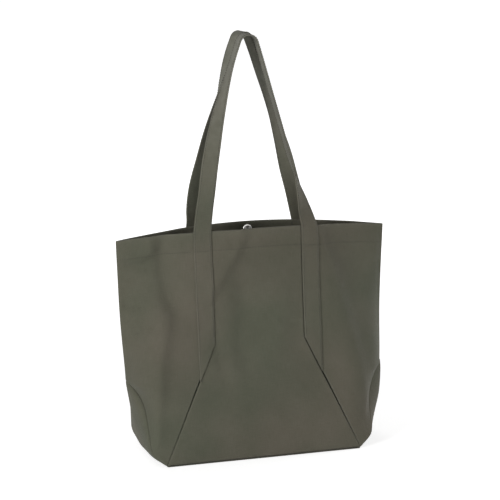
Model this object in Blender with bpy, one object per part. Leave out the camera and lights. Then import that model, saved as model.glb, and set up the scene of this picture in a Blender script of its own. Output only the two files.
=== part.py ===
"""Canvas shopping bag: sewn panels, two long strap handles and a press stud at the mouth.

Lengths are in metres. The bag stands on its base on Z = 0, with its width along X and its
front wall on the -Y side. Every sheet of cloth is drawn as the middle of its thickness.
"""
import math

import bmesh
import bpy
from mathutils import Matrix, Vector

# Cloth
CANVAS = 0.001
SEAM_GAP = 0.0003

# Mouth
MOUTH_WIDTH = 0.418
MOUTH_DEPTH = 0.048
CORNER_HEIGHT = 0.333
RIM_RISE = 0.012
CORNER_ROOM = 0.0026
HEM_DEPTH = 0.030
HEM_POCKET = 0.0012
HEM_SETBACK = 0.006

# Base and gussets
BASE_LENGTH = 0.308
BASE_WIDTH = 0.150
GUSSET_HEIGHT = 0.117
SIDE_FLARE = 0.014
SEAM_ROUND = 0.013
GUSSET_BULGE = 0.012
GUSSET_TIP = 0.0025
SIDE_TIP = 0.004

# Straps
STRAP_WIDTH = 0.025
STRAP_THICKNESS = 0.0024
STRAP_SPACING = 0.140
STRAP_END_HEIGHT = 0.177
FOLD_GAP = 0.0008

# Handles
HANDLE_TOP = 0.6345
HANDLE_MIDDLE_X = -0.0115
CROWN_SETBACK = 0.0150
CROWN_RUN = 0.117
FRONT_LEG_BOW = 0.003
BACK_LEG_BOW = 0.009
FRONT_CROWN_RADIUS = 0.0140
BACK_CROWN_RADIUS = 0.0125
LEG_LEAN = math.radians(16.7)
BACK_CROWN_TURN = math.radians(20)
LEFT_TWIST_SHARE = 1.0
FRONT_RIGHT_TWIST_SHARE = 0.35
BACK_RIGHT_TWIST_SHARE = 0.5

# Press stud
STUD_DROP = 0.012
STUD_FLANGE = 0.012
STUD_FLANGE_THICKNESS = 0.001
STUD_NECK = 0.0036
STUD_BALL = 0.0046
STUD_BALL_HEIGHT = 0.0036
STUD_POST = 0.0022
SOCKET_DIAMETER = 0.015
SOCKET_THICKNESS = 0.0023
SOCKET_BORE = 0.0060
SOCKET_POST = 0.0042
POST_REACH_SHARE = 0.5
WASHER_DIAMETER = 0.011
EDGE_ROUND = 0.0004

# Curves of the walls, as powers
FLARE_POWER = 1.35
RIM_POWER = 2.4
BOX_POWER = 12
CORNER_POWER = 40
SEAM_ROUND_SHARE = 0.42
SEAM_X_POWER = 5
SEAM_Y_POWER = 0.72

# Mesh steps
PANEL_COLUMNS = 10
LOWER_ROWS = 8
MIDDLE_ROWS = 3
UPPER_ROWS = 9
PANEL_ROWS = LOWER_ROWS + MIDDLE_ROWS + UPPER_ROWS
HEM_FOLD_STEPS = 4
HEM_ROWS = 3
GUSSET_COLUMNS = 10
LEG_STEPS = 18
CROWN_STEPS = 12
ROUND_STEPS = 24

# Sizes worked out from the ones above
RIM_HEIGHT = CORNER_HEIGHT + RIM_RISE
HALF_MOUTH = MOUTH_WIDTH / 2
HALF_GUSSET_SPAN = (MOUTH_WIDTH - SIDE_FLARE) / 2
HALF_STRAP_SPACING = STRAP_SPACING / 2
HALF_BASE_LENGTH = (BASE_LENGTH - CANVAS) / 2
HALF_BASE_WIDTH = (BASE_WIDTH - CANVAS) / 2
PANEL_FOOT = CANVAS + SEAM_GAP
FOLD_RADIUS = (CANVAS + HEM_POCKET) / 2
STRAP_STAND = CANVAS / 2 + SEAM_GAP + STRAP_THICKNESS / 2
STRAP_OUTER_X = HALF_STRAP_SPACING + STRAP_WIDTH
STUD_HEIGHT = RIM_HEIGHT - STUD_DROP
WASHER_THICKNESS = HEM_POCKET - 2 * SEAM_GAP


def clear_scene():
    """Remove every object that the file opened with."""
    for item in list(bpy.data.objects):
        bpy.data.objects.remove(item)


def make_material(name, colour, roughness, metallic):
    """A Principled material with one colour, roughness and metallic value."""
    material = bpy.data.materials.new(name)
    material.use_nodes = True
    shader = material.node_tree.nodes["Principled BSDF"]
    shader.inputs["Base Color"].default_value = (*colour, 1)
    shader.inputs["Roughness"].default_value = roughness
    shader.inputs["Metallic"].default_value = metallic
    material.diffuse_color = (*colour, 1)
    return material


def add_axis(name, place):
    """An empty on a joint's axis, which carries the pieces that turn about it."""
    axis = bpy.data.objects.new(name, None)
    axis.location = place
    bpy.context.collection.objects.link(axis)
    return axis


def add_piece(name, bm, material, axis=None):
    """Turn a mesh drawn in the bag's frame into an object, carried by an axis if it moves."""
    if axis is not None:
        bm.transform(Matrix.Translation(-axis.location))
    mesh = bpy.data.meshes.new(name)
    bm.to_mesh(mesh)
    bm.free()
    mesh.materials.append(material)
    mesh.shade_smooth()
    mesh.set_sharp_from_angle(angle=math.radians(40))
    piece = bpy.data.objects.new(name, mesh)
    piece.parent = axis
    bpy.context.collection.objects.link(piece)
    return piece


def add_thickness(piece, thickness):
    """Give a sheet its thickness, half on each side."""
    shell = piece.modifiers.new("Thickness", "SOLIDIFY")
    shell.thickness = thickness
    shell.offset = 0
    shell.use_even_offset = True


def unit_grid(columns, rows, place):
    """A grid whose points go from shares (0..1, 0..1) of a piece to their place."""
    bm = bmesh.new()
    bmesh.ops.create_grid(bm, x_segments=columns, y_segments=rows, size=0.5)
    shares = {}
    for vert in bm.verts:
        shares[vert] = (vert.co.x + 0.5, vert.co.y + 0.5)
        vert.co = place(*shares[vert])
    return bm, shares


def rim_height(x):
    """Height of the folded rim, which rises from the mouth's corners to its middle."""
    across = min(abs(x) / HALF_MOUTH, 1)
    return CORNER_HEIGHT + RIM_RISE * (1 - across ** 2)


def half_depth(z):
    """Distance of the walls from the middle plane at the middle of their width."""
    left = max(0, 1 - z / RIM_HEIGHT)
    return MOUTH_DEPTH / 2 + (HALF_BASE_WIDTH - MOUTH_DEPTH / 2) * left ** FLARE_POWER


def side_edge(z):
    """Where a wall ends at the bag's side: the gusset seam, and the side seam above it."""
    if z < GUSSET_HEIGHT:
        climb = z / GUSSET_HEIGHT
        rounded = 1 - math.exp(-((z - PANEL_FOOT) / SEAM_ROUND) ** 2)
        out = SEAM_ROUND_SHARE * rounded + (1 - SEAM_ROUND_SHARE) * climb ** SEAM_X_POWER
        edge_x = HALF_BASE_LENGTH + (HALF_GUSSET_SPAN - HALF_BASE_LENGTH) * out
        edge_y = HALF_BASE_WIDTH * (1 - climb) ** SEAM_Y_POWER
    else:
        climb = (z - GUSSET_HEIGHT) / (CORNER_HEIGHT - GUSSET_HEIGHT)
        edge_x = HALF_GUSSET_SPAN + (HALF_MOUTH - HALF_GUSSET_SPAN) * climb
        edge_y = 0
    return edge_x, max(edge_y, (CANVAS + SEAM_GAP) / 2)


def wall_depth(x, z):
    """Distance of a wall from the middle plane: boxy low down, a lens at the mouth."""
    edge_x, edge_y = side_edge(z)
    across = min(abs(x) / edge_x, 1)
    climb = min(max((z - GUSSET_HEIGHT) / (RIM_HEIGHT - GUSSET_HEIGHT), 0), 1)
    power = RIM_POWER + (BOX_POWER - RIM_POWER) * (1 - climb) ** 2
    corner = CORNER_ROOM * climb * (1 - across ** CORNER_POWER)
    return edge_y + (half_depth(z) - edge_y) * (1 - across ** power) + corner


def panel_edge(z):
    """Half width of a centre panel: straight between the straps, then out to the base."""
    slope_left = max(0, 1 - z / STRAP_END_HEIGHT)
    return HALF_STRAP_SPACING + (HALF_BASE_LENGTH - HALF_STRAP_SPACING) * slope_left


def row_levels(foot):
    """Heights of a wall's rows, with one at each height where a seam turns."""
    turns = [foot, *sorted((GUSSET_HEIGHT, STRAP_END_HEIGHT)), CORNER_HEIGHT]
    levels = [foot]
    for low, high, rows in zip(turns, turns[1:], (LOWER_ROWS, MIDDLE_ROWS, UPPER_ROWS)):
        levels += [low + (high - low) * (step + 1) / rows for step in range(rows)]
    return levels


def add_hem(bm, shares, place_hem, reaches):
    """Fold the rim over and turn it down inside, where the rim lies within reach."""
    top = [edge for edge in bm.edges if edge.is_boundary
           and all(shares[vert][1] > 1 - 1 / (4 * PANEL_ROWS) for vert in edge.verts)
           and all(reaches(shares[vert][0]) for vert in edge.verts)]
    for step in range(1, HEM_FOLD_STEPS + HEM_ROWS + 1):
        old = {vert for edge in top for vert in edge.verts}
        made = bmesh.ops.extrude_edge_only(bm, edges=top)["geom"]
        fresh = [item for item in made if isinstance(item, bmesh.types.BMVert)]
        top = [item for item in made if isinstance(item, bmesh.types.BMEdge)
               and all(vert in fresh for vert in item.verts)]
        for vert in fresh:
            under = next(edge.other_vert(vert) for edge in vert.link_edges
                         if edge.other_vert(vert) in old)
            shares[vert] = shares[under]
            vert.co = place_hem(shares[vert][0], step)


def hem_place(x, side, step):
    """A point of the folded hem, by steps round the fold and then down inside."""
    rim = rim_height(x)
    if step <= HEM_FOLD_STEPS:
        angle = math.pi * step / HEM_FOLD_STEPS
        z = rim - FOLD_RADIUS + FOLD_RADIUS * math.sin(angle)
        depth = wall_depth(x, rim) - FOLD_RADIUS + FOLD_RADIUS * math.cos(angle)
    else:
        down = (step - HEM_FOLD_STEPS) / HEM_ROWS
        z = rim - FOLD_RADIUS - (HEM_DEPTH - FOLD_RADIUS) * down
        depth = wall_depth(x, z) - 2 * FOLD_RADIUS
    return Vector((x, side * depth, z))


def wall_place(x, side, level):
    """A point of a wall, whose rows are level up to the straps' ends and rise to the rim."""
    rise = max(0, (level - STRAP_END_HEIGHT) / (CORNER_HEIGHT - STRAP_END_HEIGHT))
    z = level + (rim_height(x) - CORNER_HEIGHT - FOLD_RADIUS) * rise
    return Vector((x, side * wall_depth(x, z), z))


def centre_panel(side):
    """The wall between two straps, which widens to the base's corners."""
    levels = row_levels(PANEL_FOOT)

    def place(across, up):
        level = levels[round(up * PANEL_ROWS)]
        x = (2 * across - 1) * (panel_edge(level) - SEAM_GAP / 2)
        return wall_place(x, side, level)

    def place_hem(across, step):
        x = (2 * across - 1) * (HALF_STRAP_SPACING - SEAM_GAP / 2)
        return hem_place(x, side, step)

    bm, shares = unit_grid(PANEL_COLUMNS, PANEL_ROWS, place)
    add_hem(bm, shares, place_hem, lambda across: True)
    return bm


def side_panel(side, end):
    """A wall from under a strap to the side seam, ending in a tip at the base's corner."""
    levels = row_levels(PANEL_FOOT + SIDE_TIP)

    def column_x(across, level):
        inner = panel_edge(level) + SEAM_GAP / 2
        return inner + (side_edge(level)[0] - inner) * (1 - (1 - across) ** 2)

    def place(across, up):
        level = levels[round(up * PANEL_ROWS)]
        return wall_place(end * column_x(across, level), side, level)

    def place_hem(across, step):
        return hem_place(end * column_x(across, CORNER_HEIGHT), side, step)

    def reaches(across):
        return column_x(across, CORNER_HEIGHT) <= HALF_MOUTH - HEM_SETBACK

    bm, shares = unit_grid(PANEL_COLUMNS, PANEL_ROWS, place)
    add_hem(bm, shares, place_hem, reaches)
    return bm


def gusset_seam():
    """Points of the gusset seam, at the side panels' rows, and short of its meeting point."""
    levels = [level for level in row_levels(PANEL_FOOT + SIDE_TIP) if level < GUSSET_HEIGHT]
    seam = [(*side_edge(level), level) for level in [PANEL_FOOT, *levels]]
    low = Vector(seam[-1])
    apex = Vector((*side_edge(GUSSET_HEIGHT), GUSSET_HEIGHT))
    tip_share = 1 - GUSSET_TIP / (apex - low).length
    seam.append(tuple(low.lerp(apex, tip_share)))
    return seam


def gusset(end):
    """The three-sided end of the bag, from the base up to the foot of the side seam."""
    trim = CANVAS / 2 + SEAM_GAP
    seam = gusset_seam()
    rows = len(seam) - 1

    def place(across, up):
        edge_x, edge_y, z = seam[round(up * rows)]
        left = 1 - z / GUSSET_HEIGHT
        lean = 2 * across - 1
        bulge = GUSSET_BULGE * 4 * left * (1 - left) * (1 - lean ** 2)
        return Vector((end * (edge_x + bulge), lean * (edge_y - trim), z))

    return unit_grid(GUSSET_COLUMNS, rows, place)[0]


def base_panel():
    """The flat bottom of the bag, which it stands on."""
    bm = bmesh.new()
    bmesh.ops.create_cube(bm, size=1)
    bmesh.ops.scale(bm, verts=bm.verts, vec=(BASE_LENGTH, BASE_WIDTH, CANVAS))
    bmesh.ops.translate(bm, verts=bm.verts, vec=(0, 0, CANVAS / 2))
    return bm


def strap_turn():
    """Angle at which a strap lies across the curve of the wall at the rim."""
    fall = wall_depth(HALF_STRAP_SPACING, RIM_HEIGHT) - wall_depth(STRAP_OUTER_X, RIM_HEIGHT)
    return math.atan2(fall, STRAP_WIDTH)


def hinge_height():
    """Height at which a handle folds over the rim."""
    return rim_height(HALF_STRAP_SPACING)


def strap_leg(side, end):
    """The part of a strap that is sewn to the wall, cut off along the slanting seam."""
    top = hinge_height() - FOLD_GAP / 2

    def place(across, up):
        x = HALF_STRAP_SPACING + SEAM_GAP / 2 + (STRAP_WIDTH - SEAM_GAP / 2) * across
        slope = (x - HALF_STRAP_SPACING) / (HALF_BASE_LENGTH - HALF_STRAP_SPACING)
        foot = STRAP_END_HEIGHT * (1 - slope)
        z = foot + (top - foot) * up
        return Vector((end * x, side * (wall_depth(x, z) + STRAP_STAND), z))

    return unit_grid(2, PANEL_ROWS, place)[0]


def handle_shape(side):
    """The crown of a handle: its centre, its radius and its turn about Z."""
    radius = FRONT_CROWN_RADIUS if side < 0 else BACK_CROWN_RADIUS
    turn = 0 if side < 0 else BACK_CROWN_TURN
    top = HANDLE_TOP - STRAP_THICKNESS / 2
    centre = Vector((HANDLE_MIDDLE_X, side * CROWN_SETBACK, top - radius))
    return centre, radius, turn


def handle_leg(side, end, count):
    """Centre points of a handle's leg from the rim up to the crown, as a quadratic curve."""
    centre, radius, turn = handle_shape(side)
    along = Vector((math.cos(turn), math.sin(turn), 0)) * end
    x = HALF_STRAP_SPACING + STRAP_WIDTH / 2
    depth = wall_depth(x, RIM_HEIGHT) + STRAP_STAND
    foot = Vector((end * x, side * depth, hinge_height() + FOLD_GAP / 2))
    up = Vector((0, 0, 1))
    crown = centre + radius * (along * math.cos(LEG_LEAN) + up * math.sin(LEG_LEAN))
    bow = FRONT_LEG_BOW if side < 0 else BACK_LEG_BOW
    spread = Vector((end, 0, 0)) * (CROWN_RUN * math.sin(LEG_LEAN) + bow)
    bend = crown - up * CROWN_RUN * math.cos(LEG_LEAN) + spread
    points = []
    for step in range(count):
        share = step / count
        points.append(foot * (1 - share) ** 2 + bend * 2 * share * (1 - share) + crown * share ** 2)
    return points


def handle_path(side):
    """Centre points and width directions of a whole handle, from left foot to right foot."""
    centre, radius, turn = handle_shape(side)
    along = Vector((math.cos(turn), math.sin(turn), 0))
    crown = []
    for step in range(CROWN_STEPS + 1):
        angle = math.pi - LEG_LEAN - (math.pi - 2 * LEG_LEAN) * step / CROWN_STEPS
        crown.append(centre + radius * (along * math.cos(angle) + Vector((0, 0, math.sin(angle)))))
    left = handle_leg(side, -1, LEG_STEPS)
    right = handle_leg(side, 1, LEG_STEPS)
    points = left + crown + right[::-1]
    lie = -side * strap_turn()
    top = side * math.pi / 2 + turn
    right_share = FRONT_RIGHT_TWIST_SHARE if side < 0 else BACK_RIGHT_TWIST_SHARE
    widths = []
    for step in range(len(points)):
        from_left = min(step / (LEG_STEPS * LEFT_TWIST_SHARE), 1)
        from_right = min((len(points) - 1 - step) / (LEG_STEPS * right_share), 1)
        angle = -lie + (top + lie) * from_left
        if from_right < 1:
            angle = side * math.pi + lie + (top - side * math.pi - lie) * from_right
        widths.append(Vector((math.cos(angle), math.sin(angle), 0)))
    return points, widths


def handle_loop(side):
    """A strap handle above the rim: two twisting legs and the crown where they meet."""
    points, widths = handle_path(side)
    last = len(points) - 1

    def place(across, along):
        step = round(along * last)
        before = points[max(step - 1, 0)]
        after = points[min(step + 1, last)]
        run = (after - before).normalized()
        width = widths[step]
        if 0 < step < last:
            width = (width - run * width.dot(run)).normalized()
        return points[step] + width * STRAP_WIDTH * (across - 0.5)

    return unit_grid(2, last, place)[0]


def turned(profile, depth, face):
    """A body of revolution about Y at the stud's height, facing the other wall."""
    bm = bmesh.new()
    verts = [bm.verts.new((radius, reach, 0)) for radius, reach in profile]
    edges = [bm.edges.new(pair) for pair in zip(verts, verts[1:])]
    if profile[0][0] > 0:
        edges.append(bm.edges.new((verts[-1], verts[0])))
    bmesh.ops.spin(bm, geom=verts + edges, cent=(0, 0, 0), axis=(0, 1, 0), angle=2 * math.pi,
                   steps=ROUND_STEPS, use_merge=True)
    bmesh.ops.remove_doubles(bm, verts=bm.verts, dist=SEAM_GAP / 10)
    bmesh.ops.scale(bm, verts=bm.verts, vec=(1, face, 1))
    bmesh.ops.translate(bm, verts=bm.verts, vec=(0, -face * depth, STUD_HEIGHT))
    bmesh.ops.recalc_face_normals(bm, faces=bm.faces)
    return bm


def hem_faces():
    """Depths of the hem's inner layer at the stud: the side facing in, and the pocket side."""
    middle = wall_depth(0, STUD_HEIGHT) - 2 * FOLD_RADIUS
    return middle - CANVAS / 2, middle + CANVAS / 2


def stud():
    """The male half: a flange with a hollow ball that the post behind it is set into."""
    flange = STUD_FLANGE / 2
    ball = STUD_BALL / 2
    neck = STUD_NECK / 2
    bore = STUD_POST / 2 + SEAM_GAP
    tip = STUD_FLANGE_THICKNESS + STUD_BALL_HEIGHT
    bore_end = STUD_FLANGE_THICKNESS + STUD_BALL_HEIGHT * POST_REACH_SHARE + SEAM_GAP
    belly = tip - ball / 2
    profile = [
        (0, bore_end),
        (bore, bore_end),
        (bore, 0),
        (flange - EDGE_ROUND, 0),
        (flange, EDGE_ROUND),
        (flange - EDGE_ROUND, STUD_FLANGE_THICKNESS),
        (neck, STUD_FLANGE_THICKNESS),
        (ball, belly),
        (neck, tip - EDGE_ROUND / 2),
        (0, tip),
    ]
    return turned(profile, hem_faces()[0] - SEAM_GAP, 1)


def stud_post():
    """The washer in the front hem's pocket, with the post that holds the stud."""
    inner, pocket = hem_faces()
    reach = pocket - inner + SEAM_GAP
    tip = reach + SEAM_GAP + STUD_FLANGE_THICKNESS + STUD_BALL_HEIGHT * POST_REACH_SHARE
    return washer_with_post(STUD_POST / 2, tip, pocket, 1)


def washer_with_post(post, tip, pocket, face):
    """A thin washer that lies in a hem's pocket, and its post out through the hem."""
    rim = WASHER_DIAMETER / 2
    profile = [
        (0, -WASHER_THICKNESS),
        (rim, -WASHER_THICKNESS),
        (rim, 0),
        (post, 0),
        (post, tip - EDGE_ROUND),
        (post - EDGE_ROUND, tip),
        (0, tip),
    ]
    return turned(profile, pocket + SEAM_GAP, face)


def socket():
    """The female half: a ring whose bore takes the ball, seated on its own post."""
    outer = SOCKET_DIAMETER / 2
    bore = SOCKET_BORE / 2
    seat = SOCKET_POST / 2 + SEAM_GAP
    shelf = SOCKET_THICKNESS * POST_REACH_SHARE
    profile = [
        (seat, 0),
        (outer - EDGE_ROUND, 0),
        (outer, EDGE_ROUND),
        (outer, SOCKET_THICKNESS - 2 * EDGE_ROUND),
        (outer - EDGE_ROUND, SOCKET_THICKNESS),
        (bore + EDGE_ROUND, SOCKET_THICKNESS),
        (bore, SOCKET_THICKNESS - EDGE_ROUND),
        (bore, shelf),
        (seat, shelf),
    ]
    return turned(profile, hem_faces()[0] - SEAM_GAP, -1)


def socket_post():
    """The washer in the back hem's pocket, with the post that the socket is pressed on."""
    inner, pocket = hem_faces()
    tip = pocket - inner + 2 * SEAM_GAP + SOCKET_THICKNESS * POST_REACH_SHARE / 2
    return washer_with_post(SOCKET_POST / 2, tip, pocket, -1)


def cut_post_hole(panel, post, side, axis):
    """Punch the hole for a post through the inner layer of the hem."""
    inner, pocket = hem_faces()
    middle = (inner + pocket) / 2
    bm = bmesh.new()
    bmesh.ops.create_cone(bm, cap_ends=True, segments=ROUND_STEPS, radius1=post / 2 + SEAM_GAP,
                          radius2=post / 2 + SEAM_GAP, depth=CANVAS + HEM_POCKET)
    bmesh.ops.rotate(bm, verts=bm.verts, matrix=Matrix.Rotation(math.pi / 2, 3, "X"))
    bmesh.ops.translate(bm, verts=bm.verts, vec=(0, side * middle, STUD_HEIGHT))
    cutter = add_piece(panel.name + "_hole", bm, panel.data.materials[0], axis)
    cutter.hide_render = True
    cutter.display_type = "WIRE"
    cut = panel.modifiers.new("Post hole", "BOOLEAN")
    cut.operation = "DIFFERENCE"
    cut.object = cutter


def build_mouth(side, name, canvas, metal):
    """A centre panel and its half of the press stud, which swing about the base's edge."""
    axis = add_axis(name + "_mouth_axis", Vector((0, side * HALF_BASE_WIDTH, PANEL_FOOT)))
    panel = add_piece(name + "_centre_panel", centre_panel(side), canvas, axis)
    add_thickness(panel, CANVAS)
    if side < 0:
        cut_post_hole(panel, STUD_POST, side, axis)
        add_piece("press_stud_ball", stud(), metal, axis)
        add_piece("press_stud_ball_post", stud_post(), metal, axis)
    else:
        cut_post_hole(panel, SOCKET_POST, side, axis)
        add_piece("press_stud_socket", socket(), metal, axis)
        add_piece("press_stud_socket_post", socket_post(), metal, axis)


def build_handle(side, name, webbing):
    """A handle loop that folds outwards over the rim, about the outside of its strap."""
    across = wall_depth(HALF_STRAP_SPACING, RIM_HEIGHT) + STRAP_STAND
    outside = across + STRAP_THICKNESS / 2 + SEAM_GAP
    axis = add_axis(name + "_handle_axis", Vector((0, side * outside, hinge_height())))
    loop = add_piece(name + "_handle_loop", handle_loop(side), webbing, axis)
    add_thickness(loop, STRAP_THICKNESS)


def build_bag():
    """Every piece of the bag."""
    clear_scene()
    canvas = make_material("olive_canvas", (0.106, 0.103, 0.075), 0.9, 0)
    webbing = make_material("olive_strap", (0.140, 0.138, 0.107), 0.85, 0)
    metal = make_material("nickel", (0.62, 0.61, 0.58), 0.3, 1)
    add_piece("base_panel", base_panel(), canvas)
    for end, end_name in ((-1, "left"), (1, "right")):
        add_thickness(add_piece(end_name + "_gusset", gusset(end), canvas), CANVAS)
        for side, side_name in ((-1, "front"), (1, "back")):
            name = side_name + "_" + end_name
            panel = add_piece(name + "_side_panel", side_panel(side, end), canvas)
            add_thickness(panel, CANVAS)
            leg = add_piece(name + "_strap_leg", strap_leg(side, end), webbing)
            add_thickness(leg, STRAP_THICKNESS)
    for side, side_name in ((-1, "front"), (1, "back")):
        build_mouth(side, side_name, canvas, metal)
        build_handle(side, side_name, webbing)


build_bag()
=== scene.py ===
# %% [markdown]
# This lesson dresses a canvas shopping bag. The real one is sewn from dark olive cotton canvas:
# a flat base, a three-sided gusset at each end, and a front and a back wall of three panels
# each. Two long straps run up the walls and make the handles, and a press stud holds the mouth
# shut. The solids of the bag are loaded first, because each piece of cloth lies where its solid
# lies.

# %% Load the solid model
import math

import bmesh
import bpy
from mathutils import Matrix, Vector, noise


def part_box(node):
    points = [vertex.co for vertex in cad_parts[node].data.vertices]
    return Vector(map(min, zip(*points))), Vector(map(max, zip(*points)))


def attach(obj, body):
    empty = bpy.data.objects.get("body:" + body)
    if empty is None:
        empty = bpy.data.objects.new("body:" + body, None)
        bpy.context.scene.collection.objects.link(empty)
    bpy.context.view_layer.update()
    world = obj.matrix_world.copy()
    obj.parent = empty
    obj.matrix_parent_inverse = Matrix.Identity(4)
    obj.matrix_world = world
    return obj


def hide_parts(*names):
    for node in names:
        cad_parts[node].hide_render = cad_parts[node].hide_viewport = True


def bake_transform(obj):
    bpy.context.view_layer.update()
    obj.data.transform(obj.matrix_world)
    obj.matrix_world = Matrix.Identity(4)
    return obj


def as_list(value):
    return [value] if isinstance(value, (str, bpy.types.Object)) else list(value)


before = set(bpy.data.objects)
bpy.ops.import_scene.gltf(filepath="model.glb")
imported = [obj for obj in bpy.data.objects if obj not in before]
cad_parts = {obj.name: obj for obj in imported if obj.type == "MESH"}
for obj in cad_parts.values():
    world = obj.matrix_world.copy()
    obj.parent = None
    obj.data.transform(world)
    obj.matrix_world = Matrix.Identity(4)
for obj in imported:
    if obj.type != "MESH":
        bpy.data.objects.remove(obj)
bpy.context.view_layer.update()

# %% [markdown]
# A bag like this is drawn from the few sizes on its pattern, which are those of the solids, in
# metres. Lists of many small sizes are written in millimetres. The walls are boxy low down, where
# they follow the base, and turn into a flat lens at the mouth.

# %% Sizes of the cut pieces
SIDE_NAMES = {-1: "front", 1: "back"}
END_NAMES = {-1: "left", 1: "right"}
PLACES = [(side, end) for side in SIDE_NAMES for end in END_NAMES]
CLOTH = 0.001
SEAM_GAP = 0.0003
HALF_SEAM = (CLOTH + SEAM_GAP) / 2
SIDE_SEAM_GAP = 0.00004
HALF_SIDE_SEAM = (CLOTH + SIDE_SEAM_GAP) / 2
HALF_MOUTH = 0.209
HALF_MOUTH_DEPTH = 0.024
CORNER_HEIGHT = 0.333
RIM_RISE = 0.012
RIM_HEIGHT = CORNER_HEIGHT + RIM_RISE
CORNER_ROOM = 0.0026
HALF_BASE_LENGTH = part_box("base_panel")[1].x - CLOTH / 2
HALF_BASE_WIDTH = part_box("base_panel")[1].y - CLOTH / 2
GUSSET_HEIGHT = 0.117
GUSSET_TIP = 0.202
STRAP_END_HEIGHT = 0.177
STRAP_EDGE = 0.07
ball_low, ball_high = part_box("press_stud_ball")
STUD_HEIGHT = (ball_low.z + ball_high.z) / 2
STUD_REACH = 0.018
PANEL_FOOT = CLOTH + SEAM_GAP


def metres(value):
    """Millimetres as metres, for a number or for all the numbers of a list."""
    return value / 1000 if isinstance(value, (int, float)) else [metres(part) for part in value]


print("base", round(2 * HALF_BASE_LENGTH, 3), "by", round(2 * HALF_BASE_WIDTH, 3))

# %% Curve of the walls
FLARE_POWER = 1.35
BOX_POWER = 12
RIM_POWER = 2
RIM_PINCH = 1.7
CORNER_POWER = 40
SEAM_ROUND = 0.013
SEAM_ROUND_SHARE = 0.42
SEAM_X_POWER = 5
SEAM_Y_POWER = 0.72
SIDE_LEAN = 0.005
LEAN_HEIGHT = 0.11
LEAN_RUN = 0.075
SEAM_LEAN_FOOT = 0.045
SEAM_LEAN_RUN = 0.07


def clamp(value, low=0.0, high=1.0):
    """The value, kept between two limits."""
    return min(max(value, low), high)


def smooth(value):
    """A soft step from 0 to 1 as the value goes from 0 to 1."""
    share = clamp(value)
    return share * share * (3 - 2 * share)


def hump(value, middle, run):
    """A soft hump of height 1 round a middle, fading over a run."""
    return math.exp(-((value - middle) / run) ** 2)


def rim_height(x):
    """Height of the folded rim, which rises from the mouth's corners to its middle."""
    return CORNER_HEIGHT + RIM_RISE * (1 - clamp(abs(x) / HALF_MOUTH) ** 2)


def side_lean(z):
    """How far the bag leans to its right at a height."""
    return SIDE_LEAN * hump(z, LEAN_HEIGHT, LEAN_RUN)


def side_edge(z, end):
    """Where a wall ends at the bag's side, left (end -1) or right (end 1), as half widths."""
    if z < GUSSET_HEIGHT:
        climb = z / GUSSET_HEIGHT
        rounded = 1 - math.exp(-((z - PANEL_FOOT) / SEAM_ROUND) ** 2)
        out = SEAM_ROUND_SHARE * rounded + (1 - SEAM_ROUND_SHARE) * climb ** SEAM_X_POWER
        edge_x = HALF_BASE_LENGTH + (GUSSET_TIP - HALF_BASE_LENGTH) * out
        edge_y = HALF_BASE_WIDTH * (1 - climb) ** SEAM_Y_POWER
    else:
        climb = (z - GUSSET_HEIGHT) / (CORNER_HEIGHT - GUSSET_HEIGHT)
        edge_x = GUSSET_TIP + (HALF_MOUTH - GUSSET_TIP) * climb
        edge_y = 0
    lean = side_lean(z) * smooth((z - SEAM_LEAN_FOOT) / SEAM_LEAN_RUN)
    return edge_x + end * lean, max(edge_y, HALF_SIDE_SEAM)


def wall_depth(x, z):
    """Distance of a wall from the middle plane of the bag."""
    edge_x, edge_y = side_edge(z, math.copysign(1, x))
    across = clamp(abs(x) / edge_x)
    climb = clamp((z - GUSSET_HEIGHT) / (RIM_HEIGHT - GUSSET_HEIGHT))
    low_left = max(0, 1 - z / RIM_HEIGHT)
    middle = HALF_MOUTH_DEPTH + (HALF_BASE_WIDTH - HALF_MOUTH_DEPTH) * low_left ** FLARE_POWER
    power = RIM_POWER + (BOX_POWER - RIM_POWER) * (1 - climb) ** 2
    pinch = 1 + (RIM_PINCH - 1) * climb
    corner = CORNER_ROOM * climb * (1 - across ** CORNER_POWER)
    return edge_y + (middle - edge_y) * (1 - across ** power) ** pinch + corner


def panel_edge(z):
    """Half width of a centre panel: straight between the straps, then out to the base."""
    slope_left = max(0, 1 - z / STRAP_END_HEIGHT)
    return STRAP_EDGE + (HALF_BASE_LENGTH - STRAP_EDGE) * slope_left


print("depth of the mouth at the straps:", round(2 * wall_depth(STRAP_EDGE, RIM_HEIGHT), 4))

# %% [markdown]
# Canvas that has been carried is never quite smooth. The folds of this bag are few and lie in
# known places, so they are given as a list and not made by a cloth simulation. A fold is a line on the
# wall with a height and a reach on its left and on its right: a short reach makes a crisp side,
# and a long one a soft slope. Gentle unevenness comes from a noise field. Round the press stud
# the cloth is held flat by its washer.

# %% Folds of the front and back walls
FRONT_FOLDS = [
    ([(-22, 333), (-54, 280), (-68, 262)], 3.6, 28, 11),
    ([(102, 316), (119, 280), (132, 216), (145, 172), (156, 117), (164, 76)], 5.2, 44, 13),
    ([(192, 300), (186, 220), (190, 150)], 2.4, 20, 18),
    ([(-140, 330), (-142, 290), (-134, 240)], -3.6, 11, 22),
    ([(-145, 213), (-158, 144), (-166, 54)], 4.4, 34, 12),
    ([(-209, 304), (-176, 306), (-160, 318)], 3, 7, 14),
    ([(-209, 288), (-172, 285)], 1.1, 4, 5),
    ([(-209, 270), (-176, 266)], 1, 4, 5),
    ([(-196, 236), (-180, 237)], -1.6, 8, 9),
    ([(-195, 183), (-183, 186)], -1.4, 7, 8),
    ([(-24, 250), (-26, 147)], -2.4, 18, 22),
    ([(40, 238), (30, 170)], 1.8, 24, 20),
    ([(36, 203), (62, 202)], -0.7, 5, 6),
    ([(34, 161), (64, 160)], -0.7, 5, 6),
    ([(-68, 186), (-58, 128)], -1.4, 10, 14),
    ([(-60, 140), (40, 120), (90, 85)], 1.4, 24, 30),
    ([(-38, 328), (69, 320)], -1.2, 6, 9),
]
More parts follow.
